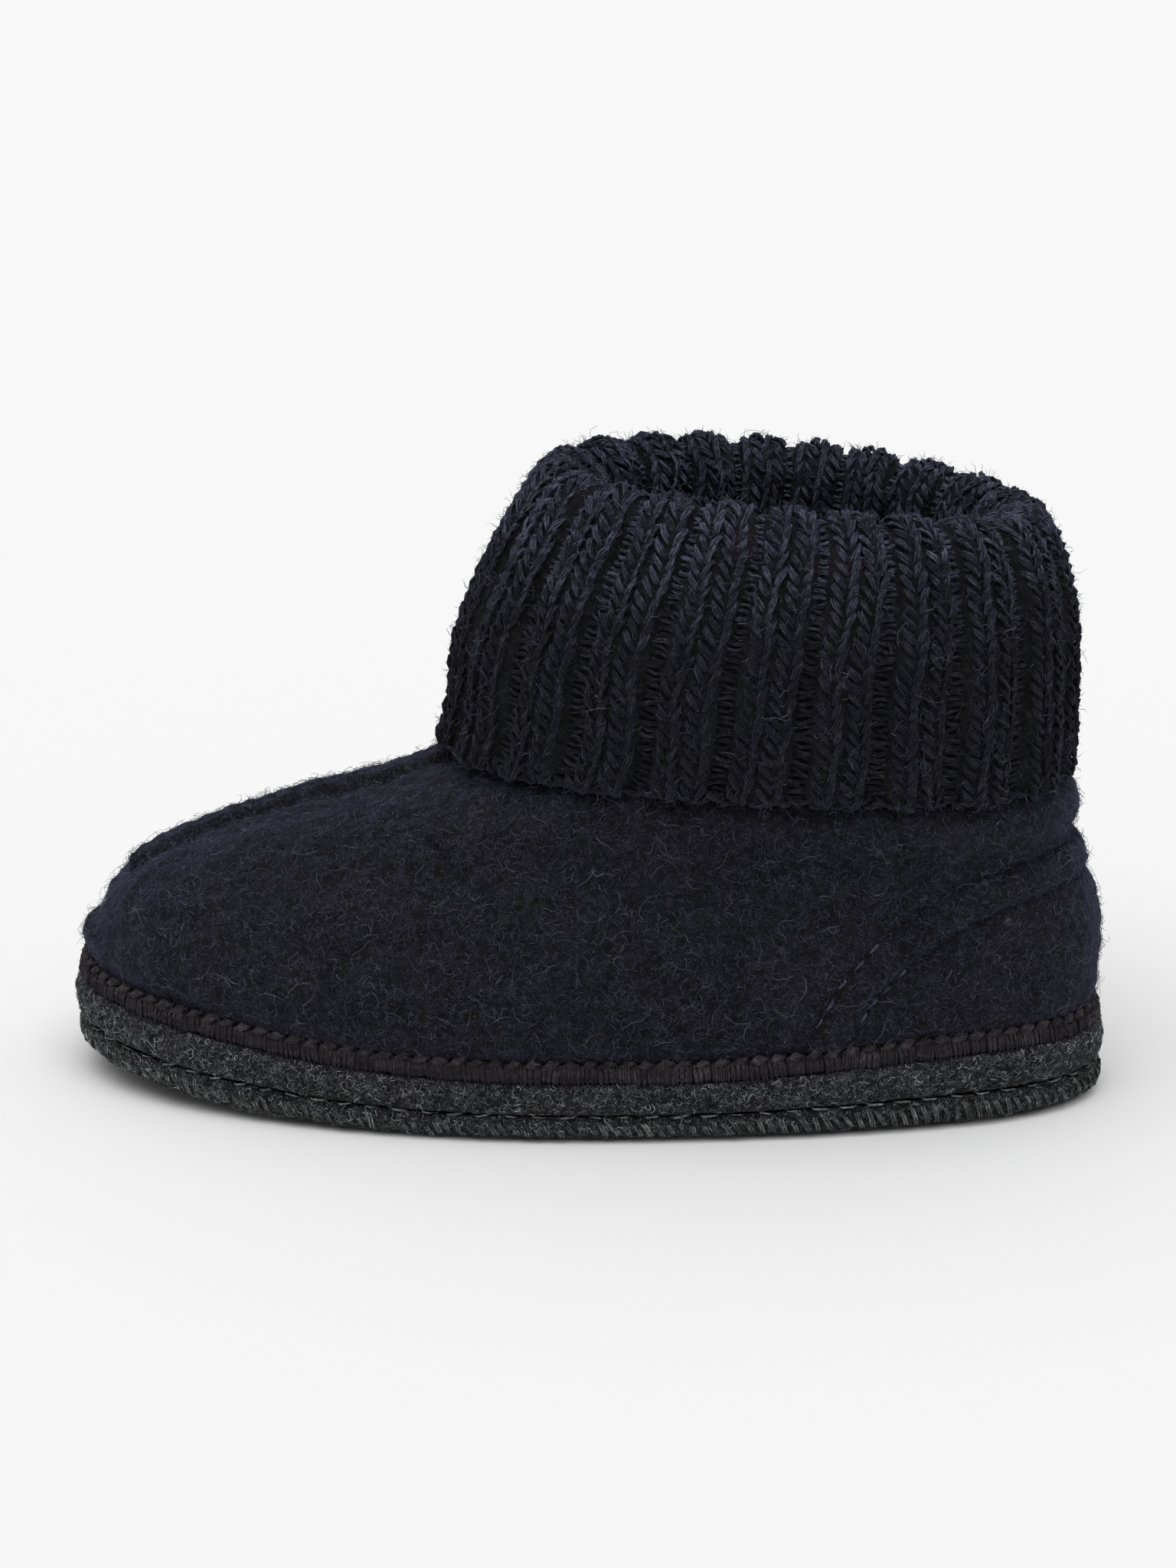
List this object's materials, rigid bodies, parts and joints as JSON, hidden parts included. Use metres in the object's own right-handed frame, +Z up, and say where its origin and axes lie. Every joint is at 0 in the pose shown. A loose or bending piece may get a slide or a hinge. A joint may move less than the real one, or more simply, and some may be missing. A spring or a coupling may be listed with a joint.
{
  "type": "wool slipper",
  "caption": "Child's left wool slipper: boiled-wool upper with raised seams, turned-down rib-knit cuff and a layered felt sole joined by overcast stitches.",
  "frame": {"origin": "on the floor, under the middle of the shoe's bounding box", "axes": "+X to the toe, +Y to the outer side, +Z up"},
  "size_m": [0.185, 0.076, 0.1144],
  "materials": {
    "grey_felt_lower": "felted wool, matt, heather charcoal grey",
    "grey_felt_upper": "felted wool, matt, heather charcoal grey",
    "brown_yarn": "wool yarn, dark brown overcast stitches",
    "grey_felt_sock": "felted wool, matt grey",
    "navy_felt": "boiled wool, matt navy with a short nap",
    "navy_felt_vamp_seam": "boiled wool, matt navy",
    "navy_felt_heel_seam": "boiled wool, matt navy",
    "navy_rib_knit": "two-by-two rib knit in navy wool yarn"
  },
  "bodies": {
    "root": {"outsole": "grey_felt_lower", "midsole": "grey_felt_upper", "welt": "brown_yarn", "insole": "grey_felt_sock", "upper": "navy_felt", "vamp_seam": "navy_felt_vamp_seam", "heel_seam": "navy_felt_heel_seam", "cuff": "navy_rib_knit"}
  },
  "joints": []
}
